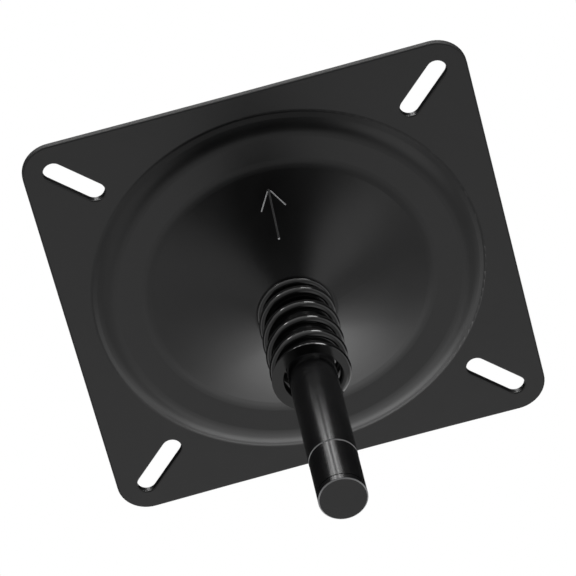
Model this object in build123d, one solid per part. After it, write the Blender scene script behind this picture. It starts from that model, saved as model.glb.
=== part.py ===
from build123d import *
import math
import os

# Swivel seat mount plate with a welded pedestal pin and a loose coil spring.
# Millimetres. The origin is the centre of the face that the seat is bolted to,
# +Z points up to the seat, -Y is the front edge and the pin points down.

# Plate blank
sheet = 2.8
plate_side = 177.8
corner_radius = 12.7
edge_round = 0.6
front_edge_draw = 0.35
back_edge_draw = 0.7

# Bolt slots, one near each corner, each running out along its diagonal
slot_width = 8.0
slot_length = 27.0
slot_inset = 18.9
slot_round = 0.5

# Pressed dish, with widths and depths of its pin side taken in from the plate's edge
rim_width = 10.6
wall_run = 5.6
land_width = 15.7
land_depth = 3.6
seat_radius = 15.9
dish_depth = 22.5
flare_radius = 175.0
flat_margin = 2.0

# Bends of the dish on its pin side, from the rim in to the spring seat
crease_bend = 2.2
shoulder_bend = 14.0
land_bend = 14.0
seat_bend = 3.0

# Pedestal pin, with heights measured up from its lower end
pin_diameter = 19.05
pin_length = 128.3
end_chamfer = 0.5
end_diameter = 18.95
groove_height = 25.0
groove_width = 0.6
groove_depth = 0.35
groove_flank = 0.35
ring_line_height = 2.9
ring_line_width = 0.45
ring_line_depth = 0.25

# Spigot through the plate, and the weld bead round it in the recess
spigot_diameter = 14.0
spigot_clearance = 0.1
spigot_proud = 2.2
weld_leg = 3.0

# Coil spring, right-handed, closed and ground flat at both ends
wire_diameter = 4.5
spring_outer_diameter = 31.4
spring_free_length = 46.5
spring_turns = 5.95
closed_turns = 0.75
closed_pitch = 4.2
blend_turns = 0.3
tip_overrun = 1.9
spring_side_play = -0.3
lower_tip_angle = 45.0
bends_per_turn = 18

# Heights, radii and spacings that the pieces share
slot_spacing = plate_side - 2 * slot_inset
dish_radius = plate_side / 2 - rim_width
land_outer_radius = dish_radius - wall_run
land_inner_radius = land_outer_radius - land_width
underside_z = -sheet
seat_z = underside_z - dish_depth
recess_floor_z = seat_z + sheet
pin_end_z = seat_z - pin_length
spring_end_z = seat_z - spring_free_length
spigot_radius = spigot_diameter / 2
hole_radius = spigot_radius + spigot_clearance
blank_hole_radius = dish_radius + flat_margin


def blank_outline():
    """Square outline whose front and back edges the press has drawn in a little."""
    half = plate_side / 2
    with BuildSketch() as outline:
        with BuildLine():
            front = ThreePointArc((-half, -half), (0, front_edge_draw - half), (half, -half))
            right = Line(front @ 1, (half, half))
            back = ThreePointArc(right @ 1, (0, half - back_edge_draw), (-half, half))
            Line(back @ 1, front @ 0)
        make_face()
        fillet(outline.vertices(), corner_radius)
    return outline.sketch


def flat_sheet():
    """Flat part of the plate: outline with rounded edges, less the dish and the rounded slots."""
    blank = extrude(Plane.XY.offset(underside_z) * blank_outline(), sheet)
    blank = fillet(blank.faces().filter_by(Axis.Z).edges(), edge_round)
    blank -= Cylinder(blank_hole_radius, 3 * sheet)
    blank -= slot_cutters()
    return fillet(slot_rims(blank), slot_round)


def slot_cutters():
    """One cutter for each slot, turned to run along its own diagonal."""
    cutters = []
    for slot in GridLocations(slot_spacing, slot_spacing, 2, 2):
        diagonal = math.degrees(math.atan2(slot.position.Y, slot.position.X))
        shape = slot * Rot(0, 0, diagonal) * SlotOverall(slot_length, slot_width)
        cutters.append(extrude(shape, sheet, both=True).move(Pos(0, 0, underside_z / 2)))
    return cutters


def slot_rims(blank):
    """Edges round the slots on the pin side, which the punch has left rounded."""
    underside_edges = blank.edges().group_by(Axis.Z)[0]
    rims = ShapeList()
    for slot in GridLocations(slot_spacing, slot_spacing, 2, 2):
        centre = Vector(slot.position.X, slot.position.Y, underside_z)
        rims += [edge for edge in underside_edges if (edge.center() - centre).length < slot_length / 2]
    return rims


def dish_underside():
    """Section line of the dish's pin side, from the pin hole out to the flat sheet."""
    land_z = underside_z - land_depth
    with BuildLine(Plane.XZ) as section:
        seat = Line((hole_radius, seat_z), (seat_radius, seat_z))
        flare = RadiusArc(seat @ 1, (land_inner_radius, land_z), flare_radius)
        land = Line(flare @ 1, (land_outer_radius, land_z))
        wall = Line(land @ 1, (dish_radius, underside_z))
        Line(wall @ 1, (blank_hole_radius, underside_z))
    return section.line


def pressed_dish():
    """Sheet of even thickness that follows the rounded section line, turned about Z."""
    bends = [
        (seat_radius, seat_bend),
        (land_inner_radius, land_bend),
        (land_outer_radius, shoulder_bend),
        (dish_radius, crease_bend),
    ]
    line = Wire(dish_underside().edges())
    for radius, bend_radius in bends:
        corner = min(line.vertices(), key=lambda vertex: abs(vertex.X - radius))
        line = line.fillet_2d(bend_radius, [corner])
    skin = line.offset_2d(sheet, side=Side.RIGHT, closed=True)
    return revolve(make_face(skin), Axis.Z)


def seat_plate():
    """Pressed plate: the flat sheet and the dish as one piece of steel."""
    return flat_sheet() + pressed_dish()


def pin_profile():
    """Half section of the pin: spigot, shoulder, body, groove, worn end and chamfer."""
    body = pin_diameter / 2
    end = end_diameter / 2
    groove_low = pin_end_z + groove_height
    groove_high = groove_low + groove_width
    ring_low = pin_end_z + ring_line_height
    ring_high = ring_low + ring_line_width
    top = recess_floor_z + spigot_proud
    outline = Polyline(
        (0, top),
        (spigot_radius, top),
        (spigot_radius, seat_z),
        (body, seat_z),
        (body, groove_high + groove_flank),
        (body - groove_depth, groove_high),
        (body - groove_depth, groove_low),
        (end, groove_low),
        (end, ring_high),
        (end - ring_line_depth, ring_high),
        (end - ring_line_depth, ring_low),
        (end, ring_low),
        (end, pin_end_z + end_chamfer),
        (end - end_chamfer, pin_end_z),
        (0, pin_end_z),
        close=True,
    )
    return make_face(Plane.XZ * outline)


def pedestal_pin():
    """Turned pin that swivels in the pedestal."""
    return revolve(pin_profile(), Axis.Z)


def pin_weld():
    """Fillet weld bead that holds the spigot to the floor of the recess."""
    outer = hole_radius + weld_leg
    top = recess_floor_z + weld_leg
    floor = Line((hole_radius, recess_floor_z), (outer, recess_floor_z))
    throat = Line(floor @ 1, (hole_radius, top))
    inner = Line(throat @ 1, floor @ 0)
    return revolve(make_face(Plane.XZ * Wire([floor, throat, inner])), Axis.Z)


def active_pitch():
    """Pitch of the open turns that makes up the spring's free length."""
    open_turns = spring_turns - 2 * closed_turns - blend_turns
    wire_rise = spring_free_length + 2 * tip_overrun
    return (wire_rise - closed_pitch * (2 * closed_turns + blend_turns)) / open_turns


def climb(turn):
    """Height of the wire's centre above a tip, up to half way along the spring."""
    gain = active_pitch() - closed_pitch
    past_closed = min(max(turn - closed_turns, 0), blend_turns)
    past_blend = max(turn - closed_turns - blend_turns, 0)
    return closed_pitch * turn + gain * past_closed**2 / (2 * blend_turns) + gain * past_blend


def wire_centre(turn):
    """Point on the wire's centre line, counted in turns from the lower tip."""
    coil_radius = (spring_outer_diameter - wire_diameter) / 2
    angle = math.radians(lower_tip_angle + 360 * turn)
    if turn < spring_turns / 2:
        z = spring_end_z - tip_overrun + climb(turn)
    else:
        z = seat_z + tip_overrun - climb(spring_turns - turn)
    return Vector(spring_side_play + coil_radius * math.cos(angle), coil_radius * math.sin(angle), z)


def coil_spring():
    """Round wire led round the coil in short runs, with both ends ground flat."""
    count = round(spring_turns * bends_per_turn)
    centres = [wire_centre(spring_turns * step / count) for step in range(count + 1)]
    wire_end = Plane(origin=centres[0], z_dir=centres[1] - centres[0])
    coil = sweep(
        wire_end * Circle(wire_diameter / 2),
        path=Polyline(*centres),
        transition=Transition.RIGHT,
    )
    between_grinds = Pos(0, 0, (seat_z + spring_end_z) / 2)
    return coil & between_grinds * Cylinder(spring_outer_diameter, spring_free_length)


def main():
    """Write each piece of the seat base as a STEP file of its own."""
    pieces = {
        "seat_plate": seat_plate(),
        "pedestal_pin": pedestal_pin(),
        "pin_weld": pin_weld(),
        "coil_spring": coil_spring(),
    }
    os.makedirs("parts", exist_ok=True)
    for name, shape in pieces.items():
        export_step(shape, f"parts/{name}.step")


if __name__ == "__main__":
    main()
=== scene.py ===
import logging
import math
from dataclasses import dataclass, field
from enum import Enum

import bpy
from mathutils import Matrix, Vector


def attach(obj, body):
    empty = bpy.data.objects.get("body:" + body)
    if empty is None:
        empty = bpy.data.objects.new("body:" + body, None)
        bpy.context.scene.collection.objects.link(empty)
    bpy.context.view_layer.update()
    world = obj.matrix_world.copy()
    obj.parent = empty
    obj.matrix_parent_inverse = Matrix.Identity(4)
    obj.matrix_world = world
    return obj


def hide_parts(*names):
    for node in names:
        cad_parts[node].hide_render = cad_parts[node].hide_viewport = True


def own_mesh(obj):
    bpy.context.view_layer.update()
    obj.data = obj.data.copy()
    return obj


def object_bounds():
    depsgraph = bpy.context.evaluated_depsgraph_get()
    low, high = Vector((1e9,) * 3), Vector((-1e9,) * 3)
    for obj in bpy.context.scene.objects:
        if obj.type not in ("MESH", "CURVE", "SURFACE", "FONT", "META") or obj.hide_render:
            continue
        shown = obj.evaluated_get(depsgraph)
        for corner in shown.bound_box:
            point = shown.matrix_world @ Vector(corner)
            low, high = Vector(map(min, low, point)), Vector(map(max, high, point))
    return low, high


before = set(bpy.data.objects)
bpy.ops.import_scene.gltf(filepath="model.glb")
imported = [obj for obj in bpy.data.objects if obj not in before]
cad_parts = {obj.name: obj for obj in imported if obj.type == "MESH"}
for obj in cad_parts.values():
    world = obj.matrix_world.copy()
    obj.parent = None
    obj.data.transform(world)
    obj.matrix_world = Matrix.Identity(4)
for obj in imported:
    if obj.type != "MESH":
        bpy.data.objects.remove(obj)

CAD_BOUNDS = [[float(value) for value in corner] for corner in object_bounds()]
MM = 0.001
LOG = logging.getLogger("seat_base")

# Colours of the steel that is mixed in for painted glints and of the studio's white, and the height
# of the spring's seat on the dish
GLINT_STEEL = (0.55, 0.55, 0.56, 1.0)
WHITE = (1.0, 1.0, 1.0, 1.0)
SEAT_Z = -25.3 * MM

# Heights of the pin's bands where steel is mixed in as a painted glint on the groove's flank and the
# end's chamfer and as a faint painted sheen on the end face, each with the share of the coat that the
# steel replaces
GROOVE_GLINT = (-128.05, -127.7, 0.6)
CHAMFER_GLINT = (-153.58, -153.15, 0.6)
END_FACE_SHEEN = (-153.7, -153.58, 0.02)

# The arrow's barbs and tail, where steel is mixed in as a painted glint, and its shaft, where a
# little steel gives a painted sheen
GLINT_LINE = (-30.0, 0.0, 1.15)
SHEEN_LINE = (-30.0, 0.0, 0.1)


class Grain(Enum):
    """How the steel under a coat was made, with the scale of its marks along x, y and z."""

    PRESSED = (1.0, 1.0, 1.0)
    TURNED = (0.04, 0.04, 1.0)
    DRAWN = (0.3, 0.3, 1.0)


def arithmetic(tree: bpy.types.NodeTree, operation: str,
               *inputs: bpy.types.NodeSocket | float) -> bpy.types.NodeSocket:
    """Add one step of arithmetic to a material or to the surroundings.

    Args:
        tree: Node tree to add to.
        operation: Name of the step.
        *inputs: Sockets or plain numbers that it works on.

    Returns:
        The result's socket.
    """
    step = tree.nodes.new("ShaderNodeMath")
    step.operation = operation
    for socket, given in zip(step.inputs, inputs):
        if isinstance(given, float):
            socket.default_value = given
        else:
            tree.links.new(given, socket)
    return step.outputs["Value"]


@dataclass(frozen=True)
class Coat:
    """A baked-on black coat over steel.

    Attributes:
        name: Name of the material.
        colour: Colour of the coat where it is thick.
        worn_colour: Slightly paler colour where the coat is thin or dusty.
        roughness: Middle roughness of the coat.
        roughness_spread: How far the roughness wanders to either side.
        peel_mm: Size of the coat's fine waves, in millimetres.
        peel_height_mm: Height of those waves, in millimetres.
        grain: How the steel under the coat was made.
        grain_height_mm: Height of that grain where it shows through.
        glint_bands: Bands where steel is mixed into the coat as painted glints and sheens, each as
            its lowest
        and highest height in millimetres and the share of the coat that the steel replaces.
        corner_place: Distance of each corner's centre from the middle lines, in millimetres.
        edge_reach: Distance from there at which the sheared edge starts, far outside a piece
            that has none.
        edge_roughness: How much rougher the coat is on the sheared edge.
        glint_roughness: How much rougher the steel of the painted glints is.
        cloud_mm: Size of the slow patches in colour and roughness, in millimetres.
        thick_below: Value of those patches below which the coat is thick.
        thin_above: Value of those patches above which the coat is thin.
        patch_least: Share of the painted glint that is left where the patches are weakest.
        patch_gain: How strongly the patches add to the painted glint.
        grain_mm: Size of the steel's grain, in millimetres.
        bending: How strongly the coat bends light, which sets its gloss.
    """

    name: str
    colour: tuple[float, float, float]
    worn_colour: tuple[float, float, float]
    roughness: float
    roughness_spread: float
    peel_mm: float
    peel_height_mm: float
    grain: Grain
    grain_height_mm: float
    glint_bands: tuple[tuple[float, float, float], ...] = ()
    corner_place: float = 0.0
    edge_reach: float = 1000.0
    edge_roughness: float = 0.0
    glint_roughness: float = 0.08
    cloud_mm: float = 14.0
    thick_below: float = 0.35
    thin_above: float = 0.75
    patch_least: float = 0.6
    patch_gain: float = 0.5
    grain_mm: float = 0.9
    bending: float = 1.5

    def material(self) -> bpy.types.Material:
        """Build the coat's node material.

        Returns:
            The finished material.
        """
        material = bpy.data.materials.new(self.name)
        material.use_nodes = True
        tree = material.node_tree
        shader = tree.nodes["Principled BSDF"]
        shader.inputs["IOR"].default_value = self.bending
        place = tree.nodes.new("ShaderNodeTexCoord").outputs["Object"]
        clouds = self._noise(tree, place, self.cloud_mm, detail=3.0)
        glint_mask = self._painted_glint(tree, place, clouds)
        self._blend_colour(tree, clouds, glint_mask, shader)
        self._wander_roughness(tree, clouds, glint_mask, self._sheared_edge(tree, place), shader)
        self._raise_surface(tree, place, shader)
        tree.links.new(glint_mask, shader.inputs["Metallic"])
        return material

    def _noise(self, tree: bpy.types.NodeTree, place: bpy.types.NodeSocket, size_mm: float,
               detail: float) -> bpy.types.NodeSocket:
        """Add an uneven pattern on the piece's own coordinates.

        Args:
            tree: Node tree to add to.
            place: Socket that gives the place on the piece.
            size_mm: Size of its waves, in millimetres.
            detail: Number of finer layers.

        Returns:
            The pattern's value socket.
        """
        noise = tree.nodes.new("ShaderNodeTexNoise")
        noise.inputs["Scale"].default_value = 1.0 / (size_mm * MM)
        noise.inputs["Detail"].default_value = detail
        tree.links.new(place, noise.inputs["Vector"])
        return noise.outputs["Fac"]

    def _painted_glint(self, tree: bpy.types.NodeTree, place: bpy.types.NodeSocket,
              clouds: bpy.types.NodeSocket) -> bpy.types.NodeSocket:
        """Say where steel is mixed into the coat as a painted glint.

        Args:
            tree: Node tree to add to.
            place: Socket that gives the place on the piece.
            clouds: Slow pattern that makes the painted glint patchy.

        Returns:
            A socket that is near 1 where the painted glint's steel shows and 0 on the coat.
        """
        split = tree.nodes.new("ShaderNodeSeparateXYZ")
        tree.links.new(place, split.inputs["Vector"])
        height = split.outputs["Z"]
        nothing = 0.0
        glint_mask = arithmetic(tree, "MULTIPLY", clouds, nothing)
        for low, high, share in self.glint_bands:
            above = arithmetic(tree, "GREATER_THAN", height, low * MM)
            below = arithmetic(tree, "LESS_THAN", height, high * MM)
            inside = arithmetic(tree, "MULTIPLY", above, below)
            glint_mask = arithmetic(tree, "MAXIMUM", glint_mask, arithmetic(tree, "MULTIPLY", inside, share))
        patchy = arithmetic(tree, "MULTIPLY_ADD", clouds, self.patch_gain, self.patch_least)
        return arithmetic(tree, "MULTIPLY", glint_mask, patchy)

    def _blend_colour(self, tree: bpy.types.NodeTree, clouds: bpy.types.NodeSocket,
                      glint_mask: bpy.types.NodeSocket, shader: bpy.types.Node) -> None:
        """Let the colour drift between the thick coat and the thin coat, and mix in steel as a
        painted glint.

        Args:
            tree: Node tree to add to.
            clouds: Slow pattern that says where the coat is thin.
            glint_mask: Socket that says where the painted glint's steel shows.
            shader: The surface shader.
        """
        ramp = tree.nodes.new("ShaderNodeValToRGB")
        thick, thin = ramp.color_ramp.elements
        thick.position = self.thick_below
        thick.color = (*self.colour, 1.0)
        thin.position = self.thin_above
        thin.color = (*self.worn_colour, 1.0)
        tree.links.new(clouds, ramp.inputs["Fac"])
        # The steel mixed in here is a painted glint
        mix = tree.nodes.new("ShaderNodeMix")
        mix.data_type = "RGBA"
        mix.inputs["B"].default_value = GLINT_STEEL
        tree.links.new(glint_mask, mix.inputs["Factor"])
        tree.links.new(ramp.outputs["Color"], mix.inputs["A"])
        tree.links.new(mix.outputs["Result"], shader.inputs["Base Color"])

    def _sheared_edge(self, tree: bpy.types.NodeTree,
                      place: bpy.types.NodeSocket) -> bpy.types.NodeSocket:
        """Say where the sheet's sheared outer edge is.

        Args:
            tree: Node tree to add to.
            place: Socket that gives the place on the piece.

        Returns:
            A socket that is 1 on the edge and 0 elsewhere.
        """
        split = tree.nodes.new("ShaderNodeSeparateXYZ")
        tree.links.new(place, split.inputs["Vector"])
        squares = []
        for axis in ("X", "Y"):
            out = arithmetic(tree, "ABSOLUTE", split.outputs[axis])
            beyond = arithmetic(tree, "SUBTRACT", out, self.corner_place * MM)
            past = arithmetic(tree, "MAXIMUM", beyond, 0.0)
            squares.append(arithmetic(tree, "MULTIPLY", past, past))
        reach = arithmetic(tree, "SQRT", arithmetic(tree, "ADD", *squares))
        return arithmetic(tree, "GREATER_THAN", reach, self.edge_reach * MM)

    def _wander_roughness(self, tree: bpy.types.NodeTree, clouds: bpy.types.NodeSocket,
                          glint_mask: bpy.types.NodeSocket, edge: bpy.types.NodeSocket,
                          shader: bpy.types.Node) -> None:
        """Let the roughness drift a little over the surface, and rise on the painted glint's steel
        and on edges.

        Args:
            tree: Node tree to add to.
            clouds: Slow pattern that the roughness follows.
            glint_mask: Socket that says where the painted glint's steel shows.
            edge: Socket that says where the sheared edge is.
            shader: The surface shader.
        """
        span = tree.nodes.new("ShaderNodeMapRange")
        span.inputs["To Min"].default_value = self.roughness - self.roughness_spread
        span.inputs["To Max"].default_value = self.roughness + self.roughness_spread
        tree.links.new(clouds, span.inputs["Value"])
        rough = arithmetic(tree, "MULTIPLY_ADD", glint_mask, self.glint_roughness, span.outputs["Result"])
        rough = arithmetic(tree, "MULTIPLY_ADD", edge, self.edge_roughness, rough)
        tree.links.new(rough, shader.inputs["Roughness"])

    def _raise_surface(self, tree: bpy.types.NodeTree, place: bpy.types.NodeSocket,
                       shader: bpy.types.Node) -> None:
        """Add the coat's fine waves, and the steel's grain under them.

        Args:
            tree: Node tree to add to.
            place: Socket that gives the place on the piece.
            shader: The surface shader.
        """
        stretch = tree.nodes.new("ShaderNodeMapping")
        stretch.inputs["Scale"].default_value = self.grain.value
        tree.links.new(place, stretch.inputs["Vector"])
        marks = self._noise(tree, stretch.outputs["Vector"], self.grain_mm, detail=1.0)
        waves = self._noise(tree, place, self.peel_mm, detail=2.0)
        grain = self._bump(tree, marks, self.grain_height_mm)
        peel = self._bump(tree, waves, self.peel_height_mm)
        tree.links.new(grain.outputs["Normal"], peel.inputs["Normal"])
        tree.links.new(peel.outputs["Normal"], shader.inputs["Normal"])

    def _bump(self, tree: bpy.types.NodeTree, pattern: bpy.types.NodeSocket,
              height_mm: float) -> bpy.types.Node:
        """Raise the surface by a pattern.

        Args:
            tree: Node tree to add to.
            pattern: Socket of the pattern.
            height_mm: Height of its waves, in millimetres.

        Returns:
            The node that tilts the surface.
        """
        bump = tree.nodes.new("ShaderNodeBump")
        bump.inputs["Strength"].default_value = 1.0
        bump.inputs["Distance"].default_value = height_mm * MM
        tree.links.new(pattern, bump.inputs["Height"])
        return bump


PLATE_COAT = Coat(
    name="satin_plate_coat", colour=(0.0035, 0.0035, 0.0037), worn_colour=(0.006, 0.006, 0.0063),
    roughness=0.30, roughness_spread=0.04, peel_mm=0.55, peel_height_mm=0.003,
    grain=Grain.PRESSED, grain_height_mm=0.0015,
    corner_place=76.2, edge_reach=11.95, edge_roughness=0.3,
)
# The pin's coat takes steel in bands as painted glints and a faint painted sheen
PIN_COAT = Coat(
    name="gloss_pin_coat", colour=(0.004, 0.004, 0.0043), worn_colour=(0.006, 0.006, 0.0064),
    roughness=0.22, roughness_spread=0.04, peel_mm=0.50, peel_height_mm=0.0015,
    grain=Grain.TURNED, grain_height_mm=0.001,
    glint_bands=(GROOVE_GLINT, CHAMFER_GLINT, END_FACE_SHEEN),
)
# The arrow's coats are paler than the plate's as a painted reflection off the raised lines, with
# steel mixed in as a painted glint on the barbs and tail and a painted sheen on the shaft
ARROW_COAT = Coat(
    name="glint_arrow_coat", colour=(0.010, 0.010, 0.0105), worn_colour=(0.016, 0.016, 0.0165),
    roughness=0.16, roughness_spread=0.04, peel_mm=0.50, peel_height_mm=0.001,
    grain=Grain.PRESSED, grain_height_mm=0.001, glint_bands=(GLINT_LINE,),
)
SHAFT_COAT = Coat(
    name="sheen_arrow_coat", colour=(0.010, 0.010, 0.0105), worn_colour=(0.016, 0.016, 0.0165),
    roughness=0.18, roughness_spread=0.04, peel_mm=0.50, peel_height_mm=0.001,
    grain=Grain.PRESSED, grain_height_mm=0.001, glint_bands=(SHEEN_LINE,),
)
SPRING_COAT = Coat(
    name="gloss_spring_coat", colour=(0.004, 0.004, 0.004), worn_colour=(0.007, 0.007, 0.007),
    roughness=0.14, roughness_spread=0.03, peel_mm=0.40, peel_height_mm=0.0008,
    grain=Grain.DRAWN, grain_height_mm=0.0008,
)


def deselect_all() -> None:
    """Leave nothing selected, in object mode."""
    if bpy.context.object is not None and bpy.context.object.mode != "OBJECT":
        bpy.ops.object.mode_set(mode="OBJECT")
    bpy.ops.object.select_all(action="DESELECT")


def make_active(piece: bpy.types.Object) -> None:
    """Select one object alone and make it the active one.

    Args:
        piece: The object.
    """
    deselect_all()
    piece.select_set(True)
    bpy.context.view_layer.objects.active = piece


def rod_along(name: str, points: list[Vector], radius: float, fineness: int) -> bpy.types.Object:
    """Model a round rod that follows a line of points, as a mesh.

    Args:
        name: Name of the piece.
        points: Points of the rod's centre line, in metres.
        radius: Radius of the rod.
        fineness: Extra points that round off each half of the rod.

    Returns:
        The rod, a closed mesh at the origin.
    """
    deselect_all()
    bpy.ops.curve.primitive_nurbs_path_add(location=(0.0, 0.0, 0.0))
    rod = bpy.context.object
    rod.name = name
    rod.data.splines.clear()
    line = rod.data.splines.new("POLY")
    line.points.add(len(points) - 1)
    for knot, point in zip(line.points, points):
        knot.co = (*point, 1.0)
    rod.data.dimensions = "3D"
    rod.data.twist_mode = "MINIMUM"
    rod.data.bevel_depth = radius
    rod.data.bevel_resolution = fineness
    rod.data.use_fill_caps = True
    make_active(rod)
    bpy.ops.object.convert(target="MESH")
    return bpy.context.object


def dress(piece: bpy.types.Object, material: bpy.types.Material) -> None:
    """Give a piece one material all over.

    Args:
        piece: The object to dress.
        material: Its material.
    """
    if piece.material_slots:
        for held in piece.material_slots:
            held.material = material
    else:
        piece.data.materials.append(material)


def plain_material(name: str, shade: float, roughness: float = 0.9) -> bpy.types.Material:
    """Make an even, dull grey material for the studio.

    Args:
        name: Name of the material.
        shade: How pale it is, from 0 to 1.
        roughness: How dull it is, from 0 to 1.

    Returns:
        The finished material.
    """
    material = bpy.data.materials.new(name)
    material.use_nodes = True
    shader = material.node_tree.nodes["Principled BSDF"]
    shader.inputs["Base Color"].default_value = (shade, shade, shade, 1.0)
    shader.inputs["Roughness"].default_value = roughness
    return material


@dataclass
class DishProfile:
    """Section of the pressed dish on its pin side, in metres.

    Attributes:
        seat_radius: Radius where the flared wall leaves the spring's seat.
        seat_z: Height of the spring's seat.
        land_radius: Radius where the flared wall meets the flat land.
        land_z: Height of the land.
        flare_radius: Radius of the flared wall's curve.
    """

    seat_radius: float = 15.9 * MM
    seat_z: float = SEAT_Z
    land_radius: float = 57.0 * MM
    land_z: float = -6.4 * MM
    flare_radius: float = 175.0 * MM

    def height(self, radius: float) -> float:
        """Height of the flared wall at a distance from the pin's axis.

        Args:
            radius: Distance from the axis, between the seat and the land.

        Returns:
            The height, in metres.
        """
        run = self.land_radius - self.seat_radius
        rise = self.land_z - self.seat_z
        chord = math.hypot(run, rise)
        to_centre = math.sqrt(self.flare_radius**2 - (chord / 2) ** 2)
        centre_r = self.seat_radius + run / 2 + to_centre * rise / chord
        centre_z = self.seat_z + rise / 2 - to_centre * run / chord
        return centre_z + math.sqrt(self.flare_radius**2 - (radius - centre_r) ** 2)


@dataclass
class SeatPlate:
    """The pressed plate, with the arrow that marks its front edge.

    Attributes:
        dish: Section that the arrow lies on.
        tip: Arrow's tip, as (x, distance in front of the pin).
        tail: Arrow's tail.
        barb_reach: Sideways reach of the barbs' ends.
        barb_back: How far the barbs' ends lie behind the tip.
        barb_start: Share of each barb, from the tip, that is left out.
        barb_radius: Radius of a barb's round back.
        shaft_radius: Radius of the shaft's round back.
        tail_radius: Radius of the knob at the shaft's end, which carries a painted glint.
        tail_length: Length of that knob.
        line_sunk: How far the line's centre lies inside the sheet.
        samples: Runs along each line.
        fineness: Extra points that round off each half of a line.
        crease: Angle above which an edge stays sharp, in degrees.
    """

    dish: DishProfile = field(default_factory=DishProfile)
    tip: tuple[float, float] = (1.9 * MM, 48.2 * MM)
    tail: tuple[float, float] = (0.85 * MM, 29.6 * MM)
    barb_reach: float = 4.9 * MM
    barb_back: float = 7.5 * MM
    barb_start: float = 0.1
    barb_radius: float = 0.29 * MM
    shaft_radius: float = 0.42 * MM
    tail_radius: float = 0.46 * MM
    tail_length: float = 0.5 * MM
    line_sunk: float = 0.18 * MM
    samples: int = 14
    fineness: int = 4
    crease: float = 40.0

    def build(self) -> list[bpy.types.Object]:
        """Dress the plate and raise the arrow on it.

        Returns:
            The pieces that were finished.
        """
        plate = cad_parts["seat_plate"]
        dress(plate, PLATE_COAT.material())
        arrow = self._arrow()
        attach(arrow, "base")
        return [plate, arrow]

    def _on_wall(self, spot: tuple[float, float]) -> Vector:
        """Place a point of the arrow just inside the dish's skin.

        Args:
            spot: The point, as (x, distance in front of the pin).

        Returns:
            The point, in the part's frame.
        """
        x, ahead = spot
        return Vector((x, -ahead, self.dish.height(math.hypot(x, ahead)) + self.line_sunk))

    def _stroke(self, name: str, start: tuple[float, float], end: tuple[float, float],
                radius: float) -> bpy.types.Object:
        """Raise one line of the arrow.

        Args:
            name: Name for the line.
            start: First end, as (x, distance in front of the pin).
            end: Second end.
            radius: Radius of the line's round back.

        Returns:
            The line as a mesh.
        """
        points = []
        for step in range(self.samples + 1):
            share = step / self.samples
            spot = (start[0] + share * (end[0] - start[0]), start[1] + share * (end[1] - start[1]))
            points.append(self._on_wall(spot))
        return rod_along(name, points, radius, self.fineness)

    def _arrow(self) -> bpy.types.Object:
        """Raise the arrow's shaft, its tail and its two barbs, and join them.

        Returns:
            The arrow as one piece.
        """
        tip_x, tip_ahead = self.tip
        tail_x, tail_ahead = self.tail
        shaft = self._stroke("front_arrow", self.tail, self.tip, self.shaft_radius)
        knob_end = (tail_x, tail_ahead + self.tail_length)
        glinting_strokes = [self._stroke("arrow_tail", self.tail, knob_end, self.tail_radius)]
        for name, side in (("arrow_right", 1.0), ("arrow_left", -1.0)):
            end = (tip_x + side * self.barb_reach, tip_ahead - self.barb_back)
            root = (tip_x + side * self.barb_start * self.barb_reach,
                    tip_ahead - self.barb_start * self.barb_back)
            glinting_strokes.append(self._stroke(name, end, root, self.barb_radius))
        # The shaft's coat carries a painted sheen, and the tail's and barbs' coat a painted glint
        dress(shaft, SHAFT_COAT.material())
        glint_coat = ARROW_COAT.material()
        make_active(shaft)
        for stroke in glinting_strokes:
            dress(stroke, glint_coat)
            stroke.select_set(True)
        bpy.ops.object.join()
        bpy.ops.object.shade_smooth_by_angle(angle=math.radians(self.crease))
        return bpy.context.object


@dataclass
class PedestalPin:
    """The pin and the weld that holds it."""

    def build(self) -> list[bpy.types.Object]:
        """Dress the pin and its weld.

        Returns:
            The pieces that were finished.
        """
        coat = PIN_COAT.material()
        pieces = [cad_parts["pedestal_pin"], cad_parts["pin_weld"]]
        for piece in pieces:
            dress(piece, coat)
        return pieces


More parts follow.
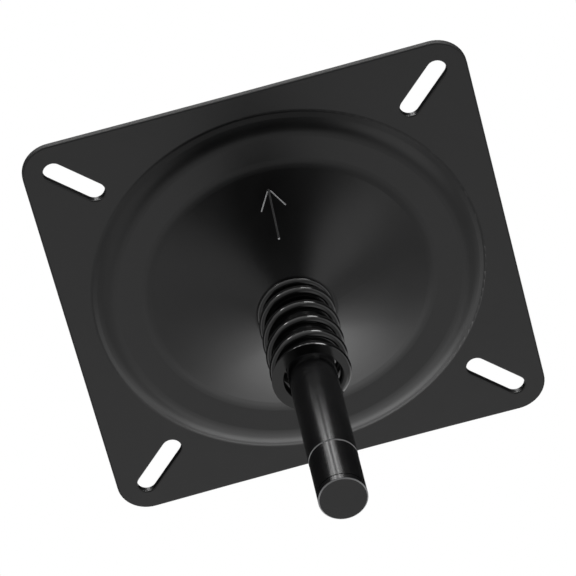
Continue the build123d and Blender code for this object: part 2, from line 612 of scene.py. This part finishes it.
@dataclass
class CoilSpring:
    """The compression spring, closed and ground at both ends.

    Attributes:
        wire: Diameter of the wire.
        outer: Outer diameter of the coil.
        turns: Number of turns, tip to tip.
        closed: Turns at each end with the closed pitch.
        closed_pitch: Pitch of those turns.
        blend: Turns over which the pitch opens.
        overrun: How far each tip's centre line lies past its ground face.
        side_play: Sideways shift of the loose spring on the pin.
        lower_tip: Angle of the lower tip, in degrees.
        seat_z: Height of the seat that the upper ground face rests on.
        free_length: Length between the two ground faces.
        joint_travel: Travel of the joint that presses the spring; not used.
        steps: Runs of the centre line in one turn.
        fineness: Extra points that round off each half of the wire.
        crease: Angle above which an edge stays sharp, in degrees.
    """

    wire: float = 4.5 * MM
    outer: float = 31.4 * MM
    turns: float = 5.95
    closed: float = 0.75
    closed_pitch: float = 4.2 * MM
    blend: float = 0.3
    overrun: float = 1.9 * MM
    side_play: float = -0.3 * MM
    lower_tip: float = 45.0
    seat_z: float = SEAT_Z
    free_length: float = 46.5 * MM
    joint_travel: float = 18.0 * MM
    steps: int = 60
    fineness: int = 10
    crease: float = 30.0

    def build(self) -> list[bpy.types.Object]:
        """Model the spring in place of its plain solid, and attach it to the base.

        Returns:
            The pieces that were finished.
        """
        spring = rod_along("smooth_coil_spring", self._centre_line(), self.wire / 2, self.fineness)
        self._grind(spring)
        bpy.ops.object.shade_smooth_by_angle(angle=math.radians(self.crease))
        dress(spring, SPRING_COAT.material())
        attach(spring, "base")
        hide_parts("coil_spring")
        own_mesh(spring)
        return [spring]

    def _centre_line(self) -> list[Vector]:
        """Points of the wire's centre line, from the lower tip up.

        Returns:
            The points, in metres.
        """
        low = self.seat_z - self.free_length
        radius = (self.outer - self.wire) / 2
        count = round(self.turns * self.steps)
        points = []
        for step in range(count + 1):
            turn = self.turns * step / count
            angle = math.radians(self.lower_tip) + math.tau * turn
            if turn < self.turns / 2:
                z = low - self.overrun + self._climb(turn)
            else:
                z = self.seat_z + self.overrun - self._climb(self.turns - turn)
            x = self.side_play + radius * math.cos(angle)
            points.append(Vector((x, radius * math.sin(angle), z)))
        return points

    def _climb(self, turn: float) -> float:
        """Height gained from a tip.

        Args:
            turn: Turns from that tip, up to half the spring.

        Returns:
            The height gained, in metres.
        """
        open_turns = self.turns - 2 * self.closed - self.blend
        closed_rise = self.closed_pitch * (2 * self.closed + self.blend)
        open_rise = self.free_length + 2 * self.overrun - closed_rise
        gain = open_rise / open_turns - self.closed_pitch
        in_blend = min(max(turn - self.closed, 0.0), self.blend)
        past_blend = max(turn - self.closed - self.blend, 0.0)
        return self.closed_pitch * turn + gain * in_blend**2 / (2 * self.blend) + gain * past_blend

    def _grind(self, spring: bpy.types.Object) -> None:
        """Keep only what lies between the two ground faces, and close both cuts.

        Args:
            spring: The spring, which is left as the active object.
        """
        deselect_all()
        middle = self.seat_z - self.free_length / 2
        bpy.ops.mesh.primitive_cylinder_add(vertices=32, radius=self.outer, depth=self.free_length,
                                            location=(0.0, 0.0, middle))
        between = bpy.context.object
        make_active(spring)
        cut = spring.modifiers.new("grind", "BOOLEAN")
        cut.operation = "INTERSECT"
        cut.solver = "EXACT"
        cut.use_self = True
        cut.object = between
        bpy.ops.object.modifier_apply(modifier=cut.name)
        make_active(between)
        bpy.ops.object.delete()
        make_active(spring)


def direction(heading: float, elevation: float) -> Vector:
    """Direction in the studio.

    Args:
        heading: Degrees from the front towards +X.
        elevation: Degrees above the horizon.

    Returns:
        The unit vector.
    """
    turn = math.radians(heading)
    rise = math.radians(elevation)
    return Vector((math.sin(turn) * math.cos(rise), -math.cos(turn) * math.cos(rise), math.sin(rise)))


@dataclass(frozen=True)
class SoftBox:
    """A soft rectangular lamp that faces the object.

    Attributes:
        name: Name of the lamp.
        heading: Direction from the object, in degrees from the front towards +X.
        elevation: Degrees above the horizon.
        width: Width of the lamp.
        height: Height of the lamp.
        power: Radiated power in watts.
        distance: Distance from the object.
    """

    name: str
    heading: float
    elevation: float
    width: float
    height: float
    power: float
    distance: float = 1.6

    def place(self, aim: Vector) -> None:
        """Hang the lamp and turn it to the object.

        Args:
            aim: Point that it faces.
        """
        away = direction(self.heading, self.elevation)
        data = bpy.data.lights.new(self.name, "AREA")
        data.shape = "RECTANGLE"
        data.size = self.width
        data.size_y = self.height
        data.energy = self.power
        lamp = bpy.data.objects.new(self.name, data)
        lamp.location = aim + away * self.distance
        lamp.rotation_euler = away.to_track_quat("Z", "Y").to_euler()
        lamp.visible_camera = False
        bpy.context.scene.collection.objects.link(lamp)


# Each lamp with its heading, elevation, width, height and power
LAMPS = (
    SoftBox("back_level", 180.0, -5.0, 1.4, 0.7, 2.65),
    SoftBox("back_low", 180.0, -33.0, 1.2, 0.6, 2.15),
    SoftBox("back_under", 180.0, -58.0, 1.0, 0.6, 0.48),
    SoftBox("back_left", 225.0, -15.0, 1.0, 0.8, 0.3),
    SoftBox("back_left_under", 225.0, -50.0, 0.9, 0.7, 0.32),
    SoftBox("left_under", 270.0, -50.0, 0.9, 0.7, 0.4),
    SoftBox("right_under", 90.0, -50.0, 0.9, 0.7, 1.15),
    SoftBox("front_left", 315.0, -15.0, 1.0, 0.8, 0.4),
    SoftBox("front_right_strip", 30.0, -5.0, 0.3, 0.8, 0.4),
    SoftBox("front_level", 0.0, 15.0, 1.2, 0.5, 1.6),
    SoftBox("front_right_box", 40.0, 20.0, 0.6, 0.6, 11.0),
    SoftBox("front_left_spot", 335.0, 20.0, 0.2, 0.3, 2.9),
    SoftBox("high_strip_a", 338.0, 50.0, 0.12, 0.8, 3.1),
    SoftBox("high_strip_b", 350.0, 50.0, 0.12, 0.8, 1.85),
    SoftBox("high_strip_c", 10.0, 50.0, 0.12, 0.8, 1.75),
    SoftBox("high_strip_d", 22.0, 50.0, 0.12, 0.8, 2.3),
)


@dataclass(frozen=True)
class BlackCard:
    """A black card that keeps the pale surroundings out of the mirrors.

    Attributes:
        name: Name of the card.
        heading: Direction from the object, in degrees from the front towards +X.
        elevation: Degrees above the horizon.
        width: Width of the card.
        height: Height of the card.
        distance: Distance from the object.
        shade: How pale the card is, from 0 to 1.
    """

    name: str
    heading: float
    elevation: float
    width: float
    height: float
    distance: float = 1.1
    shade: float = 0.01

    def place(self, aim: Vector) -> None:
        """Stand the card and turn it to the object.

        Args:
            aim: Point that it faces.
        """
        away = direction(self.heading, self.elevation)
        deselect_all()
        bpy.ops.mesh.primitive_plane_add(size=1.0, location=aim + away * self.distance,
                                         rotation=away.to_track_quat("Z", "Y").to_euler())
        card = bpy.context.object
        card.name = self.name
        card.scale = (self.width, self.height, 1.0)
        bpy.ops.object.transform_apply(location=True, rotation=True, scale=True)
        card.visible_camera = False
        card.visible_diffuse = False
        card.visible_shadow = False
        dress(card, plain_material(self.name, self.shade))


# Each card with its heading, elevation, width and height
CARDS = (
    BlackCard("left_card", 270.0, 45.0, 1.8, 1.6),
    BlackCard("right_card", 90.0, 45.0, 1.8, 1.6),
    BlackCard("low_card", 0.0, -76.0, 1.0, 0.9),
)


@dataclass
class Studio:
    """Camera, lamps, floor and the white surroundings.

    Attributes:
        camera_place: Where the camera stands, in metres.
        heading: Direction that the camera looks along, from +Y towards +X, in degrees.
        elevation: Height of the camera over the object, in degrees, negative from below.
        roll: Turn of the camera about its own axis, in degrees.
        lens_pixels: Focal length in pixels of a square picture.
        picture_pixels: Side of that picture.
        sensor: Sensor width, in millimetres.
        far_sight: Distance beyond which the camera sees nothing.
        floor_drop: Height of the floor, far below the part.
        floor_side: Side of the floor.
        floor_shade: How pale the floor is under the lamps, from 0 to 1.
        floor_glow: How pale the floor looks to the camera and in the mirrors.
        fill: Strength of the surroundings on the object.
    """

    camera_place: tuple[float, float, float] = (0.0242, -1.13504, -1.71676)
    heading: float = -1.274
    elevation: float = -56.408
    roll: float = -13.962
    lens_pixels: float = 5209.9
    picture_pixels: int = 576
    sensor: float = 36.0
    far_sight: float = 50.0
    floor_drop: float = -3.2
    floor_side: float = 16.0
    floor_shade: float = 0.8
    floor_glow: float = 0.35
    fill: float = 0.1

    def build(self) -> None:
        """Set up the whole studio."""
        self._camera()
        self._floor()
        self._surroundings()
        low, high = (Vector(corner) for corner in CAD_BOUNDS)
        for part in (*LAMPS, *CARDS):
            part.place((low + high) / 2)
        bpy.context.scene.view_settings.view_transform = "Standard"

    def _camera(self) -> None:
        """Stand the camera where the photograph was taken from."""
        heading = math.radians(self.heading)
        elevation = math.radians(self.elevation)
        level = math.cos(elevation)
        forward = Vector((math.sin(heading) * level, math.cos(heading) * level, -math.sin(elevation)))
        data = bpy.data.cameras.new("photo_camera")
        data.sensor_width = self.sensor
        data.lens = self.lens_pixels / self.picture_pixels * self.sensor
        data.clip_end = self.far_sight
        camera = bpy.data.objects.new("photo_camera", data)
        turn = forward.to_track_quat("-Z", "Y").to_matrix().to_4x4()
        roll = Matrix.Rotation(math.radians(self.roll), 4, "Z")
        camera.matrix_world = Matrix.Translation(self.camera_place) @ turn @ roll
        bpy.context.scene.collection.objects.link(camera)
        bpy.context.scene.camera = camera

    def _floor(self) -> None:
        """Lay a plain pale floor far below the part, which is held up in its own frame."""
        deselect_all()
        bpy.ops.mesh.primitive_plane_add(size=self.floor_side, location=(0.0, 0.0, self.floor_drop))
        floor = bpy.context.object
        floor.name = "studio_floor"
        material = plain_material("pale_floor", self.floor_shade)
        tree = material.node_tree
        shader = tree.nodes["Principled BSDF"]
        shader.inputs["Emission Color"].default_value = WHITE
        glow = arithmetic(tree, "MULTIPLY", self._seen_directly(tree), self.floor_glow)
        tree.links.new(glow, shader.inputs["Emission Strength"])
        dress(floor, material)

    def _surroundings(self) -> None:
        """White where the camera or a mirror looks past the part, and a dim even fill on it."""
        world = bpy.data.worlds.new("studio_world")
        bpy.context.scene.world = world
        world.use_nodes = True
        tree = world.node_tree
        tree.nodes.clear()
        mix = tree.nodes.new("ShaderNodeMixShader")
        for socket, strength in ((mix.inputs[1], self.fill), (mix.inputs[2], 1.0)):
            light = tree.nodes.new("ShaderNodeBackground")
            light.inputs["Color"].default_value = WHITE
            light.inputs["Strength"].default_value = strength
            tree.links.new(light.outputs["Background"], socket)
        tree.links.new(self._seen_directly(tree), mix.inputs["Fac"])
        out = tree.nodes.new("ShaderNodeOutputWorld")
        tree.links.new(mix.outputs["Shader"], out.inputs["Surface"])

    def _seen_directly(self, tree: bpy.types.NodeTree) -> bpy.types.NodeSocket:
        """Pick the rays of the camera, of mirrors and of clear glass.

        Args:
            tree: Node tree to add to.

        Returns:
            A socket that is 1 for those rays and 0 for the others.
        """
        path = tree.nodes.new("ShaderNodeLightPath")
        picked = path.outputs["Is Camera Ray"]
        for kind in ("Is Glossy Ray", "Is Transmission Ray"):
            picked = arithmetic(tree, "MAXIMUM", picked, path.outputs[kind])
        return picked


def main() -> None:
    """Build the sub-assemblies in order, then the studio."""
    logging.basicConfig(level=logging.INFO)
    for part in (SeatPlate(), PedestalPin(), CoilSpring()):
        for piece in part.build():
            LOG.info("%s: %s, %d faces", type(part).__name__, piece.name, len(piece.data.polygons))
    Studio().build()


if __name__ == "__main__":
    main()
